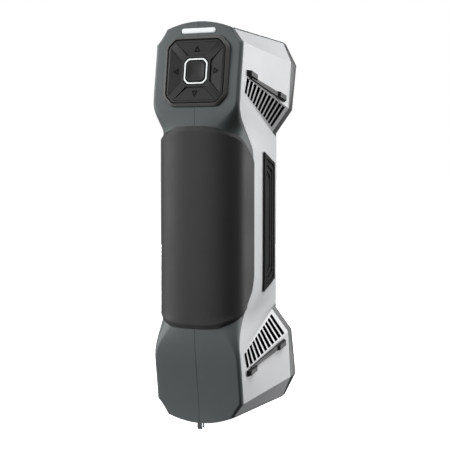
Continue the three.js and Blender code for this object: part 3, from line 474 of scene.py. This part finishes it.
LOOKS = {
    "shell": finish("shell_plastic", (0.135, 0.152, 0.152), 0.5, grain=2600, relief=0.1, mottle=0.04,
                    specular=0.35),
    "grip": finish("grip_rubber", (0.057, 0.057, 0.057), 0.55, grain=3000, relief=0.2, mottle=0.06, wear=0.1,
                   specular=0.22),
    "cover": finish("cover_silver", (0.74, 0.75, 0.76), 0.48, grain=5200, relief=0.05, mottle=0.02, wear=0.4,
                    metallic=0.12, specular=0.4),
    "trim": finish("trim_plastic", (0.095, 0.097, 0.099), 0.42, relief=0.08, wear=0.3, specular=0.4),
    "rim": finish("rim_plastic", (0.125, 0.122, 0.119), 0.5, relief=0.08, wear=0.2, specular=0.3),
    "black": finish("black_plastic", (0.012, 0.0125, 0.013), 0.42, relief=0.06, mottle=0.1, wear=0.3,
                    specular=0.35),
    "guard": finish("guard_plastic", (0.018, 0.0183, 0.0186), 0.48, relief=0.06, mottle=0.1, wear=0.2,
                    specular=0.35),
    "insert": finish("insert_rubber", (0.016, 0.016, 0.0162), 0.65, relief=0.1, mottle=0.1, wear=0.2,
                     specular=0.1),
    "pad": finish("keypad_plastic", (0.030, 0.030, 0.030), 0.55, grain=2600, relief=0.12, mottle=0.06,
                  wear=0.1, specular=0.3),
    "key": finish("key_rubber", (0.028, 0.028, 0.0285), 0.58, grain=3000, relief=0.14, mottle=0.07, wear=0.1,
                  specular=0.3),
    # the raised arrow marks are black: painted shadow along their outlines
    "mark": finish("key_mark_painted_shadow", (0.008, 0.008, 0.008), 0.7, grain=3000, relief=0.1, mottle=0.07, wear=0.0,
                   specular=0.1),
    "light": lit(finish("light_guide", (0.86, 0.88, 0.88), 0.35, grain=1500, relief=0.03, mottle=0.02, wear=0,
                        coat=0.3), (0.95, 1.0, 1.0), 0.38),
    "diffuser": lit(finish("ring_diffuser", (0.78, 0.80, 0.80), 0.4, grain=1500, relief=0.08, mottle=0.04,
                           wear=0, coat=0.2), (0.95, 1.0, 1.0), 0.04),
    # black sheet behind each vent: painted shade in the slots
    "shade_sheet": finish("vent_shade_sheet", (0.004, 0.004, 0.004), 0.7, grain=1400, relief=0.6, mottle=0.2, wear=0,
                     specular=0.1),
    "glass": optic("optic_glass", (0.008, 0.010, 0.016), 260),
    "alloy": finish("alloy_metal", (0.62, 0.63, 0.64), 0.32, grain=900, relief=0.08, mottle=0.05,
                    metallic=1.0, stretch=(1, 1, 12)),
    "dark_alloy": finish("anodised_metal", (0.03, 0.03, 0.032), 0.4, grain=900, relief=0.08, mottle=0.05,
                         metallic=0.6, stretch=(1, 1, 12)),
    "board": finish("board_laminate", (0.02, 0.12, 0.05), 0.45, grain=700, relief=0.05, mottle=0.15),
    "steel": finish("steel_metal", (0.36, 0.37, 0.38), 0.34, grain=1500, relief=0.1, mottle=0.06,
                    metallic=1.0, stretch=(10, 1, 1)),
}


# ---- putting pieces on the frame -----------------------------------------------------------------
def place(obj, look, nodes, body="housing", slot=None, second=None):
    """Dresses a piece and sets it on a body, in the stead of its CAD nodes."""
    for name in (look, second or look):
        obj.data.materials.append(LOOKS[name])
    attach(obj, body)
    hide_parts(*nodes)
    return obj


# ---- back shell ----------------------------------------------------------------------------------
SHELL_STOPS = spread(0, FLAT_END, 5)[:-1] + spread(FLAT_END, CORNER_END, 14)[:-1] + [CORNER_END, 0.925, 1]


def crest_row(q, inset):
    """A row of the upper chamfer, from its foot (q = 0) to the arched crest (q = 1)."""
    width = mix(HEAD_HALF, CREST_HALF, q) - inset
    row = []
    for s in SHELL_STOPS:
        p = section_point(s, CHAMFER_Z, width + inset, inset)
        p.z = mix(CHAMFER_Z, TOP - inset - ARCH * (p.x / CREST_HALF) ** 2, q)
        p.y += back_line(p.z) - back_line(CHAMFER_Z)
        row.append(p)
    return row


def crown_row(r, inset):
    """A row of the roof, from the crest (r = 0) to the front (r = 1)."""
    end = ROOF_HALF - inset
    row = []
    for p in crest_row(1, inset):
        share = p.x / (CREST_HALF - inset)
        row.append(Vector((mix(p.x, share * end, r), mix(p.y, REAR_OF_BEZEL, r), p.z - ROOF_FALL * r)))
    return row


def shell_rows(inset):
    """All rows of one shell half, from the front of the underside up to the front of the roof."""
    heights = spread(-EVEN_ROWS_END, EVEN_ROWS_END, EVEN_ROWS_END)
    middle = [[section_point(s, z, half_width(z), inset) for s in SHELL_STOPS] for z in heights]
    over = [crest_row(q, inset) for q in spread(0, 1, 5)] + [crown_row(r, inset) for r in (0.05, 0.3, 0.6, 1)]
    under = [[Vector((p.x, p.y, -p.z)) for p in row] for row in reversed(over)]
    rows = under + middle + over
    return [[Vector((max(p.x, SEAM / 2), p.y, p.z)) for p in row] for row in rows]


def keypad_point(x, y, z):
    """From the keypad's own plane (X across, Y up its face, Z out of it) into the body."""
    turn = Matrix.Rotation(math.pi / 2 - KEY_TILT, 4, "X")
    return turn @ Vector((x, y, z)) + Vector((0, KEY_Y, KEY_Z))


def status_point(x, y, z):
    """The same for the status light's plane, which leans less."""
    turn = Matrix.Rotation(math.pi / 2 - KEY_TILT / 3, 4, "X")
    return turn @ Vector((x, y, z)) + Vector((0, STATUS_Y, STATUS_Z))


def prism(outline, low, high, to_body):
    """A straight tool standing on one of the body's slanting planes."""
    return loft_builder([[to_body(x, y, z) for x, y in outline] for z in (low, high)])


def capsule(half_length, radius, sides=10):
    """A bar with round ends."""
    points = []
    for sign in (1, -1):
        for angle in spread(-math.pi / 2, math.pi / 2, sides):
            x = half_length - radius + radius * math.cos(angle)
            points.append((sign * x, sign * radius * math.sin(angle)))
    return points


def shell_cuts():
    """Openings for the keypad, the status light, the cable inlet and the lug."""
    below, inlet_end, lug_end = -160, -130, -135
    corners = ((-LUG_HALF, LUG_REAR), (LUG_HALF, LUG_REAR), (LUG_HALF, LUG_FRONT), (-LUG_HALF, LUG_FRONT))
    keypad = rounded(octagon(BEZEL_HALF + KEYPAD_PLAY, RIM_CORNER + 0.1), RIM_ROUNDING)
    status = capsule(STATUS_HALF + STATUS_PLAY, STATUS_RADIUS + STATUS_PLAY)
    return [
        prism(keypad, -9, 9, keypad_point),
        prism(status, -4, 4, status_point),
        turned_upright([(INLET_HOLE, below), (INLET_HOLE, inlet_end)]),
        loft_builder([[(x, y, z) for x, y in corners] for z in (below, lug_end)]),
    ]


def make_shell():
    half = sheet_builder(shell_rows(0), shell_rows(SHELL_WALL))
    for side, sx in SIDES:
        obj = new_object(f"shell_{side}", mirror_builder(half, sx, 1))
        cut_away(obj, *shell_cuts())
        shade(obj, FLAT_SHARP)
        soften(obj, 0.35, angle=35)
        place(obj, "shell", [f"back_shell_{side}"])


# ---- grip pad ------------------------------------------------------------------------------------
def along_section(length):
    """Section parameter of a point a given length round the shell from its middle, at the handle."""
    flat = HANDLE_HALF - HANDLE_CORNER
    arc = math.pi / 2 * HANDLE_CORNER
    side = HANDLE_EDGE_Y - BACK_Y - HANDLE_CORNER
    if length < flat:
        return FLAT_END * length / flat
    if length < flat + arc:
        return mix(FLAT_END, CORNER_END, (length - flat) / arc)
    return mix(CORNER_END, 1, (length - flat - arc) / side)


def pad_reach(rise):
    """How far round the shell the pad reaches at a height above its middle."""
    into = max(0, (abs(rise) - PAD_HALF_HEIGHT + PAD_CORNER) / PAD_CORNER)
    return PAD_FLAT + PAD_SIDE * max(0, 1 - into ** PAD_POWER) ** (1 / PAD_POWER)


PAD_RISES = [0, *spread(PAD_HALF_HEIGHT - PAD_CORNER, PAD_HALF_HEIGHT, 16)]
PAD_EDGE = [(pad_reach(rise), rise) for rise in PAD_RISES] + [(0, PAD_HALF_HEIGHT)]


def from_pad_edge(length, rise):
    """Distance of a point of the pad from the pad's outline."""
    point = Vector((abs(length), abs(rise)))
    nearest = PAD_HALF_HEIGHT
    for a, b in zip(PAD_EDGE, PAD_EDGE[1:]):
        start, along = Vector(a), Vector(b) - Vector(a)
        share = min(1, max(0, (point - start).dot(along) / along.length_squared))
        nearest = min(nearest, (point - start - along * share).length)
    return nearest


def pad_surface(length, rise, height):
    """A point of the pad a given length round the shell and a given height over it."""
    z = PAD_MIDDLE + rise
    s = min(PAD_LAST_SHARE, along_section(abs(length)))
    p = section_point(s, z, half_width(z) + height, -height)
    return Vector((math.copysign(p.x, length) if length else 0.0, p.y, p.z))


def make_pad():
    heights = [PAD_HALF_HEIGHT * math.sin(a) for a in spread(-math.pi / 2, math.pi / 2, 96)]
    shares = [math.sin(a) for a in spread(-math.pi / 2, math.pi / 2, 80)]
    top, bottom = [], []
    for rise in heights:
        lengths = [share * pad_reach(rise) for share in shares]
        shares_up = [min(1, from_pad_edge(length, rise) / PAD_BEVEL) for length in lengths]
        raised = [mix(PAD_EDGE_HEIGHT, PAD_PROUD, share) for share in shares_up]
        top.append([pad_surface(length, rise, up) for length, up in zip(lengths, raised)])
        bottom.append([pad_surface(length, rise, -PAD_SUNK) for length in lengths])
    obj = new_object("grip_rubber", sheet_builder(top, bottom), ROUND_SHARP)
    soften(obj, 0.25, angle=40)
    place(obj, "grip", ["grip_pad"])


# ---- side covers ---------------------------------------------------------------------------------
def rear_point(z, half):
    """Where the cover meets the shell, at a height of its upper (half = 1) or mirrored lower half."""
    return Vector((half_width(half * z) + 0.2, edge_y(half * z) + GAP, z))


def handle_front(t):
    """Front end of the handle's lines, from the vent (t = 0) down the head's inner edge to the handle."""
    if t < NECK_SHARE:
        return COVER_VENT_LOW.lerp(COVER_HANDLE_TOP, t / NECK_SHARE)
    z = mix(COVER_HANDLE_TOP.z, HANDLE_REAR_TOP, (t - NECK_SHARE) / (1 - NECK_SHARE))
    return Vector((COVER_HANDLE_TOP.x, COVER_HANDLE_TOP.y, z))


def slot_edges():
    """Both edges of every slot, as shares of the cover's depth."""
    edges = []
    for k in range(SLOTS):
        middle = mix(SLOT_FIRST, SLOT_LAST, k / (SLOTS - 1))
        edges.append((middle - SLOT_WIDTH / 2, middle + SLOT_WIDTH / 2))
    return edges


SLOT_EDGES = slot_edges()
COVER_STOPS = sorted([0, 0.02, 0.985, 1] + [u for pair in SLOT_EDGES for u in pair])


def tent(u):
    """Height of the handle's crease across the cover: 1 on the crease, 0 at both ends."""
    return u / CREASE_U if u < CREASE_U else (1 - u) / (1 - CREASE_U)


def cover_lines(half):
    """Rear end, front end and crease height of every line of the cover's upper half, top first."""
    keys = [
        (COVER_CREST[0], COVER_CREST[1]),
        (rear_point(CHAMFER_Z, half), COVER_SHOULDER),
        (rear_point(SHOULDER_REAR, half), COVER_SHOULDER.lerp(COVER_VENT_TOP, 0.5)),
        (rear_point(VENT_REAR_TOP, half), COVER_VENT_TOP),
        (rear_point(VENT_REAR_LOW, half), COVER_VENT_LOW),
    ]
    lines = []
    halves = (0, 0.5)
    for (a, b), (c, d), shares in zip(keys, keys[1:], (halves, halves, halves, (0, *SLOT_ENDS))):
        lines += [(a.lerp(c, t), b.lerp(d, t), 0) for t in shares]
    for t in spread(0, 1, 28):
        rear = rear_point(mix(VENT_REAR_LOW, HANDLE_REAR_TOP, t), half)
        lines.append((rear, handle_front(t), smooth((t - 0.3) / 0.5)))
    return lines


def cover_rows(offset):
    """All rows of the right cover, top to bottom, moved outwards by an offset."""
    rows = []
    for half in (1, -1):
        made = [[rear.lerp(front, u) + Vector((offset + rise * tent(u), 0, 0)) for u in COVER_STOPS]
                for rear, front, rise in cover_lines(half)]
        rows += made if half > 0 else [[Vector((p.x, p.y, -p.z)) for p in row] for row in reversed(made)]
    return rows


def is_slot(i, j):
    """Whether a cell of the cover's grid is open."""
    row = min(i, 2 * len(cover_lines(1)) - 2 - i)
    middle = (COVER_STOPS[j] + COVER_STOPS[j + 1]) / 2
    return row == SLOT_ROW and any(low < middle < high for low, high in SLOT_EDGES)


def make_shade_sheets(half_name, half):
    """A black sheet close behind each vent, painted shade so that nothing shines through the slots."""
    lines = cover_lines(half)[SLOT_ROW - 1:SLOT_ROW + 3]
    columns = spread(0.09, 0.95, 12)

    def sheet(depth):
        return [[rear.lerp(front, u) - Vector((depth, 0, 0)) for u in columns] for rear, front, _ in lines]

    near = COVER_WALL + SHADE_SHEET_GAP
    shade_sheet = sheet_builder(sheet(near), sheet(near + SHADE_SHEET_WALL))
    for side, sx in SIDES:
        obj = new_object(f"vent_shade_sheet_{half_name}_{side}", mirror_builder(shade_sheet, sx, half))
        place(obj, "shade_sheet", [], slot="black")


def make_covers():
    for name, half in ENDS:
        make_shade_sheets(name, half)
    cover = sheet_builder(cover_rows(0), cover_rows(-COVER_WALL), is_slot)
    for side, sx in SIDES:
        obj = new_object(f"cover_{side}", mirror_builder(cover, sx, 1), 8)
        soften(obj, 0.22, angle=9)
        # the cover's back and the walls of its slots take the black: painted shade down in the slots
        place(obj, "cover", [f"side_cover_{side}"], second="black")


# ---- guards, inserts, trims and other moulded pieces that keep the CAD's shape --------------------
def refine(node, name, look, width, segments=2, angle=30, slot=None):
    """Lays the CAD node's own shape in a finer form: whole faces and rounded edges."""
    return soften(place(from_cad(node, name), look, [node], slot=slot), width, segments, angle)


def make_refined():
    for side, _ in SIDES:
        refine(f"side_insert_{side}", f"insert_{side}", "insert", 0.2, slot="black")
        for end, _ in ENDS:
            refine(f"vent_guard_{end}_{side}", f"guard_{end}_{side}", "guard", 0.22, slot="black")
    for end, _ in ENDS:
        refine(f"front_bezel_{end}", f"bezel_{end}", "trim", 0.9, segments=4, angle=22)
        refine(f"front_window_{end}", f"window_{end}", "black", 0.3, segments=3)
    refine("handle_front_cover", "handle_front", "trim", 0.6, segments=3, angle=22)
    lug = refine("lanyard_lug", "lug", "steel", 0.4)
    lug.data.transform(Matrix.Translation((0, LUG_FORWARD * MM, 0)))
    for k in range(1, 5):
        refine(f"cover_screw_{k}", f"screw_{k}", "steel", 0.12, angle=40)


# ---- optics --------------------------------------------------------------------------------------
# Each profile lists (radius, distance along the axis) from the axis outwards and back.
BARREL_PROFILE = [(0, 27.4), (9.5, 27.4), (9.5, 39.5), (14.0, 39.5), (14.3, 39.8), (14.3, 50.8),
                  (13.9, 51.25), (12.6, 51.25), (12.1, 50.9), (11.9, 48.2), (0, 48.2)]
GLASS_PROFILE = [(0, 48.5), (11.3, 48.5), (11.5, 48.7), (11.5, 49.4), (10.5, 49.9), (7, 50.25),
                 (3.5, 50.38), (0, 50.4)]
RING_PROFILE = [(14.6, 47), (20, 47), (20, 50.5), (19.7, 50.8), (14.9, 50.8), (14.6, 50.5)]
LASER_PROFILE = [(0, 42.7), (7.8, 42.7), (8, 42.9), (8, 43.9), (7.7, 44.25), (0, 44.3)]
INLET_PROFILE = [(0, -134), (8, -134), (8, -147.0), (7.6, -147.4), (5.8, -147.4), (5.4, -147.0),
                 (5.4, -136), (0, -136)]


def make_optics():
    for end, sz in ENDS:
        for node, builder, look, slot in (
                (f"lens_barrel_{end}", turned(BARREL_PROFILE, HEAD_MID), "black", None),
                (f"lens_glass_{end}", turned(GLASS_PROFILE, HEAD_MID), "glass", None),
                (f"ring_light_lens_{end}", turned(RING_PROFILE, HEAD_MID, True), "diffuser", "light"),
                (f"laser_window_{end}", turned(LASER_PROFILE, LASER_Z), "glass", None)):
            obj = new_object(f"{node}_piece", mirror_builder(builder, 1, sz), ROUND_SHARP)
            place(obj, look, [node], slot=slot)


def make_inlet():
    place(new_object("inlet", turned_upright(INLET_PROFILE), ROUND_SHARP), "black", ["cable_inlet"])


# ---- keypad --------------------------------------------------------------------------------------
def keypad_loops(steps):
    """Loops on the keypad from (outline, height) pairs."""
    return [[keypad_point(x, y, z) for x, y in outline] for outline, z in steps]


def key_outline(inset, outer_inset):
    """The trapezoid of the upper key; its long outer edge may be drawn in by a different amount."""
    low, high = KEY_INNER + inset, KEY_OUTER - outer_inset
    shift = WEB + inset * math.sqrt(2)
    return [(shift - low, low), (low - shift, low), (high - shift, high), (shift - high, high)]


def spun(turn, x, y):
    """A point of the upper key, moved by quarter turns to another key."""
    flat = Matrix.Rotation(turn * math.pi / 2, 2) @ Vector((x, y))
    return flat.x, flat.y


def shell_drop(x):
    """How far the crowned shell lies under the keypad's plane at a distance from its middle."""
    return CROWN * (x / (HEAD_HALF - HEAD_CORNER)) ** 2


def make_bezel():
    """The rim round the keypad, from its outer wall over a rounded brow to its inner wall."""
    steps = (                    # half size, corner, rounding, height and how far it follows the shell
        (BEZEL_HALF, RIM_CORNER, RIM_ROUNDING, -4.4, 0),
        (BEZEL_HALF, RIM_CORNER, RIM_ROUNDING, 0.7, 1),
        (BEZEL_HALF - 0.25, RIM_CORNER, RIM_ROUNDING, 1.0, 1),
        (TRAY_HALF + 1.2, 6.3, 6, 1.75, 0.2),
        (TRAY_HALF + 0.85, 6.2, 5, 1.9, 0),
        (TRAY_HALF + 0.6, 6.1, 5, 1.7, 0),
        (TRAY_HALF + 0.5, 6.0, 5, KEY_FLOOR, 0),
    )
    loops = []
    for half, corner, rounding, height, follow in steps:
        points = rounded(octagon(half, corner), rounding)
        loops.append([keypad_point(x, y, height - follow * shell_drop(x)) for x, y in points])
    place(new_object("keypad_rim", loft_builder(loops, True), 40), "rim", ["keypad_bezel"], slot="trim")


def make_keypad_frame():
    """The plate that holds the keys, with a window for each of them and for the ring."""
    def edge(inset):
        return rounded(octagon(TRAY_HALF - inset, PLATE_CORNER), PLATE_ROUNDING)

    steps = [
        (edge(0.1), KEY_FLOOR), (edge(0), KEY_FACE - 0.6),
        (edge(0.15), KEY_FACE - 0.2), (edge(0.6), KEY_FACE),
    ]
    obj = new_object("keypad_plate", loft_builder(keypad_loops(steps)))
    window = rounded(octagon(RING_HALF + KEYPAD_PLAY, RING_CORNER + 0.1), 3)
    outlines = [window]
    for turn in range(4):
        outlines.append([spun(turn, x, y) for x, y in key_outline(-0.14, -0.04)])
    tools = [prism(outline, -10, 10, keypad_point) for outline in outlines]
    cut_away(obj, *tools)
    shade(obj, FLAT_SHARP)
    soften(obj, 0.18, angle=40)
    place(obj, "pad", ["keypad_frame"], slot="black")


def key_face(y):
    """Height of a key's face, which rises outwards."""
    return mix(KEY_INNER_FACE, KEY_FACE, (y - KEY_INNER) / (KEY_OUTER - KEY_INNER))


def mark_builder(turn):
    """A raised outline arrowhead, drawn as a band round a triangle."""
    outer = [(-2.6, 14.4), (2.6, 14.4), (0, 19.2)]
    inner = [(-1.05, 15.35), (1.05, 15.35), (0, 17.3)]

    def loop(points, height):
        return [keypad_point(*spun(turn, x, y), key_face(y) + height) for x, y in points]

    return loft_builder([loop(outer, -0.2), loop(outer, 0.12), loop(inner, 0.12), loop(inner, -0.2)], True)


def key_builder(turn):
    """A key with a level foot and a sloping face; its raised mark takes the second material, black as painted
    shadow.
    """
    def loop(inset, height_at):
        outline = key_outline(inset, inset)
        return [keypad_point(*spun(turn, x, y), height_at(y)) for x, y in outline]

    body = loft_builder([
        loop(0.05, lambda y: KEY_FLOOR + KEY_LIFT),
        loop(0, lambda y: key_face(y) - 0.5),
        loop(0.05, lambda y: key_face(y) - 0.15),
        loop(0.25, key_face),
    ])
    mark = mark_builder(turn)

    def build(bm):
        body(bm)
        plain = len(bm.faces)
        mark(bm)
        for face in list(bm.faces)[plain:]:
            face.material_index = 1

    return build


def make_keys():
    for turn, way in enumerate(("up", "left", "down", "right")):
        obj = new_object(f"key_{way}_cap", key_builder(turn), ROUND_SHARP)
        place(obj, "key", [f"key_{way}"], f"key_{way}", second="mark")


def make_centre():
    """The light ring on its black holder, and the hollow button in the middle."""
    def loop(half, corner):
        return rounded(octagon(half, corner), 3)

    def outside(inset=0):
        return loop(RING_HALF - 0.45 - inset, RING_CORNER)

    def inside(inset=0):
        return loop(RING_HALF - RING_BAND - 0.05 + inset, RING_INNER_CORNER)

    low, high = KEY_FLOOR + 0.2, KEY_FACE + 0.1
    step, brim = high - 0.3, high - 0.1
    holder = [(outside(), low), (outside(), step), (inside(), step), (inside(), low)]
    guide = [
        (outside(), step), (outside(), brim), (outside(0.1), high),
        (inside(0.1), high), (inside(), brim), (inside(), step),
    ]
    ring = new_object("ring_holder", loft_builder(keypad_loops(holder), True), ROUND_SHARP)
    place(ring, "black", [])
    light = new_object("light_ring", loft_builder(keypad_loops(guide), True), ROUND_SHARP)
    place(light, "light", ["button_light_ring"])

    half = RING_HALF - RING_BAND - 0.05 - BUTTON_GAP
    steps = [
        (loop(half, BUTTON_CORNER), KEY_FLOOR + KEY_LIFT), (loop(half, BUTTON_CORNER), high - 0.5),
        (loop(half - 0.2, BUTTON_CORNER), high - 0.2), (loop(half - 0.7, BUTTON_CORNER - 0.1), brim),
    ]
    for share in (0.8, 0.66, 0.5, 0.32, 0.14):
        hollow = brim - DISH_DEPTH * (1 - share ** 2)
        steps.append((loop(half * share, BUTTON_CORNER * share), hollow))
    button = new_object("middle_button", loft_builder(keypad_loops(steps)), ROUND_SHARP)
    place(button, "key", ["centre_button"], "centre_button")


def make_status():
    """A bar of light with rounded edges; each step is drawn in by an inset, at a height."""
    loops = []
    for inset, height in ((0, -2.4), (0, 0.1), (0.12, 0.33), (0.4, 0.47), (0.9, 0.52)):
        outline = capsule(STATUS_HALF - inset, STATUS_RADIUS - inset)
        loops.append([status_point(x, y, height) for x, y in outline])
    place(new_object("status_bar", loft_builder(loops), ROUND_SHARP), "light", ["status_light"])


# ---- inner pieces keep their CAD meshes ----------------------------------------------------------
INNER = {
    "alloy": ["camera_block", "laser_module"],
    "dark_alloy": ["heat_sink"],
    "board": ["ring_light_board"],
    "black": ["fan_frame", "fan_rotor"],
}


def dress_inner():
    """Gives the inner CAD meshes their looks."""
    looks = {f"{name}_{end}": look for look, names in INNER.items() for name in names for end, _ in ENDS}
    looks.update({"optical_frame": "alloy", "main_board": "board", "key_board": "board"})
    looks.update({f"switch_{way}": "black" for way in ("up", "left", "down", "right", "centre")})
    for node, look in looks.items():
        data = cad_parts[node].data
        for k in range(len(data.materials)):
            data.materials[k] = LOOKS[look]


# ---- stage, light and camera ---------------------------------------------------------------------
FLOOR_Z = (LIFT - 153.95) * MM   # just under the lug
FLOOR_CORNERS = ((-9, -5), (9, -5), (9, 30), (-9, 30))
SOFT_BOXES = (                   # name, azimuth, elevation, distance, width and height in metres, watts
    ("key_right", 144, 5, 2.4, 0.8, 2.0, 40),
    ("fill_left", -61, 8, 2.4, 0.9, 2.0, 84),
    ("top", 84, 62, 2.0, 0.9, 0.9, 24),
    ("front", 205, 14, 2.4, 0.8, 1.6, 40),
)
WORLD_LIGHT, WORLD_SEEN = 0.09, 1.0   # strength of the studio as light and as backdrop
CAMERA_AZIMUTH, CAMERA_ELEVATION = math.radians(25.97), math.radians(2.70)
CAMERA_PLACE = Vector((0.47516, -0.97026, 0.04109))   # metres, from the middle of the body
CAMERA_SENSOR, CAMERA_LENS = 36, 112.5
CAMERA_SHIFT = (-0.0064, 0.0207)


def make_stage():
    """A pale floor that gives nothing back to the body, as on a lit table in a dark studio."""
    mesh = bpy.data.meshes.new("floor")
    bm = bmesh.new()
    bm.faces.new([bm.verts.new((x, y, FLOOR_Z)) for x, y in FLOOR_CORNERS])
    bm.to_mesh(mesh)
    bm.free()
    floor = bpy.data.objects.new("floor", mesh)
    bpy.context.scene.collection.objects.link(floor)
    floor.visible_diffuse = False
    floor.visible_glossy = False
    look = finish("studio_floor", (0.93, 0.93, 0.93), 0.8, grain=60, relief=0.01, mottle=0.004, wear=0,
                  specular=0.1)
    mesh.materials.append(lit(look, (1, 1, 1), 1.0))


def soft_box(name, azimuth, elevation, distance, width, height, power):
    """A softbox aimed at the body; azimuth 0 stands behind the user and 90 on the object's right."""
    a, e = math.radians(azimuth), math.radians(elevation)
    spot = Vector((math.sin(a) * math.cos(e), -math.cos(a) * math.cos(e), math.sin(e))) * distance
    light = bpy.data.lights.new(name, "AREA")
    light.shape = "RECTANGLE"
    light.size, light.size_y = width, height
    light.energy = power
    lamp = bpy.data.objects.new(name, light)
    lamp.location = spot
    lamp.rotation_euler = spot.to_track_quat("Z", "Y").to_euler()
    bpy.context.scene.collection.objects.link(lamp)


def make_light():
    world = bpy.data.worlds.new("studio")
    world.use_nodes = True
    nodes = Nodes(world.node_tree)
    background = world.node_tree.nodes["Background"]
    seen = nodes.add("LightPath").outputs["Is Camera Ray"]
    nodes.tree.links.new(nodes.ramp(seen, 0, 1, WORLD_LIGHT, WORLD_SEEN), background.inputs["Strength"])
    background.inputs["Color"].default_value = (1, 1, 1, 1)
    bpy.context.scene.world = world
    for box in SOFT_BOXES:
        soft_box(*box)
    bpy.context.scene.view_settings.view_transform = "Standard"


def make_camera():
    """The view over the object's right shoulder, a little above its middle."""
    flat = math.cos(CAMERA_ELEVATION)
    x, y = math.sin(CAMERA_AZIMUTH) * flat, -math.cos(CAMERA_AZIMUTH) * flat
    back = Vector((x, y, math.sin(CAMERA_ELEVATION)))
    data = bpy.data.cameras.new("camera")
    data.sensor_width = CAMERA_SENSOR
    data.lens = CAMERA_LENS
    data.shift_x, data.shift_y = CAMERA_SHIFT
    camera = bpy.data.objects.new("camera", data)
    camera.location = CAMERA_PLACE + Vector((0, 0, LIFT * MM))
    camera.rotation_euler = back.to_track_quat("Z", "Y").to_euler()
    bpy.context.scene.collection.objects.link(camera)
    bpy.context.scene.camera = camera


make_shell()
make_pad()
make_covers()
make_refined()
make_optics()
make_inlet()
make_bezel()
make_keypad_frame()
make_keys()
make_centre()
make_status()
dress_inner()
make_stage()
make_light()
make_camera()
